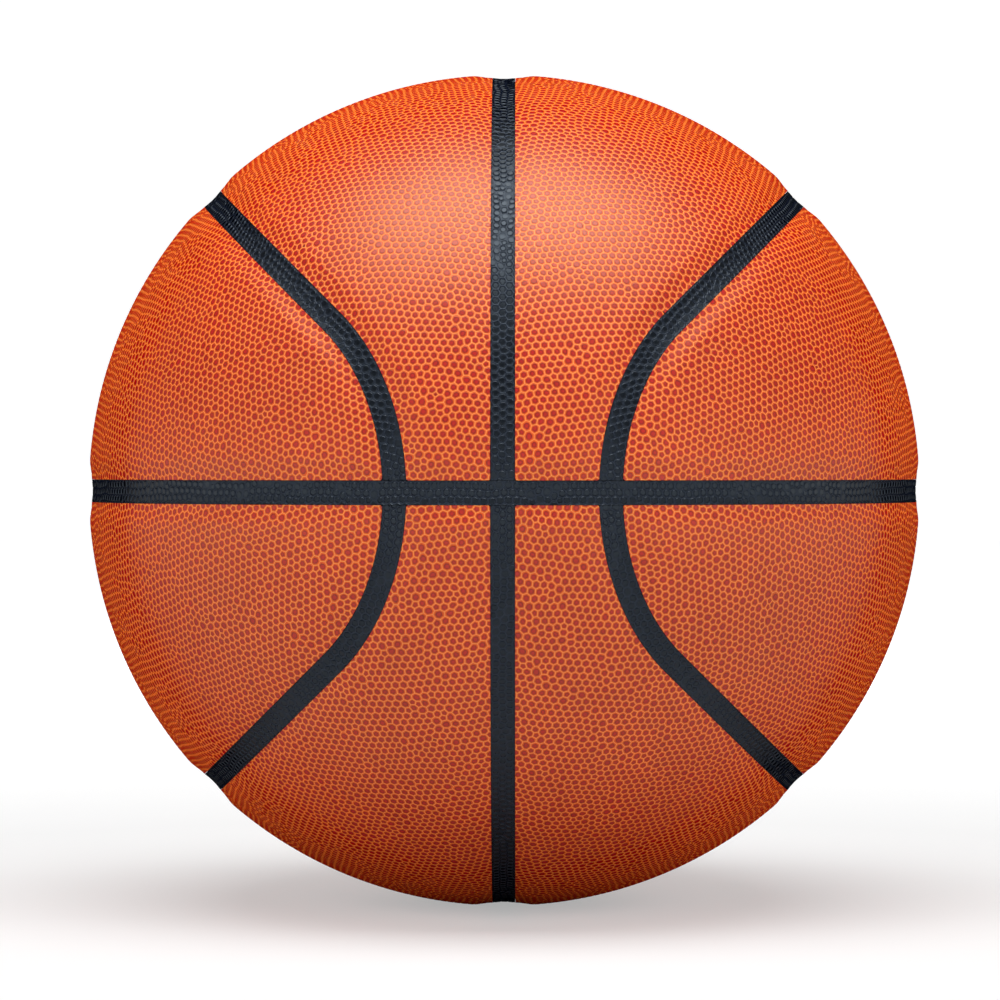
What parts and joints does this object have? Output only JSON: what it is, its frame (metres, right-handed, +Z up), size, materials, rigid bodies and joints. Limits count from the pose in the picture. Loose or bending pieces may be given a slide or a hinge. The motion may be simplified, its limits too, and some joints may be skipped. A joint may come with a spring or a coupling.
{
  "type": "basketball",
  "caption": "Round inflatable ball with pebbled orange-red cover panels, black channel strips set between them, a layered body and a needle valve at the back.",
  "frame": {"origin": "centre of the ball, which is the centre of its box", "axes": "+Z up through the top of the ball, along which the vertical channel crosses the poles; the horizontal channel lies in the XY plane, the vertical one in the YZ plane; -Y is the side in the picture and +Y the side with the valve"},
  "size_m": [0.2378, 0.2372, 0.2378],
  "materials": {
    "panel": "pebbled composite leather, red pebble tops on orange valleys",
    "channel": "pebbled composite leather, blue-black",
    "cushion": "fine-celled sponge sheet",
    "carcass": "matte moulded",
    "winding": "wound nylon thread",
    "bladder": "smooth matte",
    "valve": "smooth matte"
  },
  "bodies": {
    "ball": {"side_panel_right_upper": "panel", "side_panel_right_lower": "panel", "side_panel_left_upper": "panel", "side_panel_left_lower": "panel", "centre_panel_right_upper": "panel", "centre_panel_right_lower": "panel", "centre_panel_left_upper": "panel", "centre_panel_left_lower": "panel", "channel_strip_horizontal": "channel", "channel_strip_vertical_upper": "channel", "channel_strip_vertical_lower": "channel", "channel_strip_curved_right_upper": "channel", "channel_strip_curved_right_lower": "channel", "channel_strip_curved_left_upper": "channel", "channel_strip_curved_left_lower": "channel", "sponge_cushion": "cushion", "rubber_carcass": "carcass", "nylon_winding": "winding", "butyl_bladder": "bladder", "valve_housing": "valve"},
    "core": {"valve_core": "valve"}
  },
  "joints": [
    {"name": "core_pull", "type": "slide", "parent": "ball", "child": "core", "axis": [0, 0.9135, -0.4067], "range_m": [0, 0.022]}
  ]
}
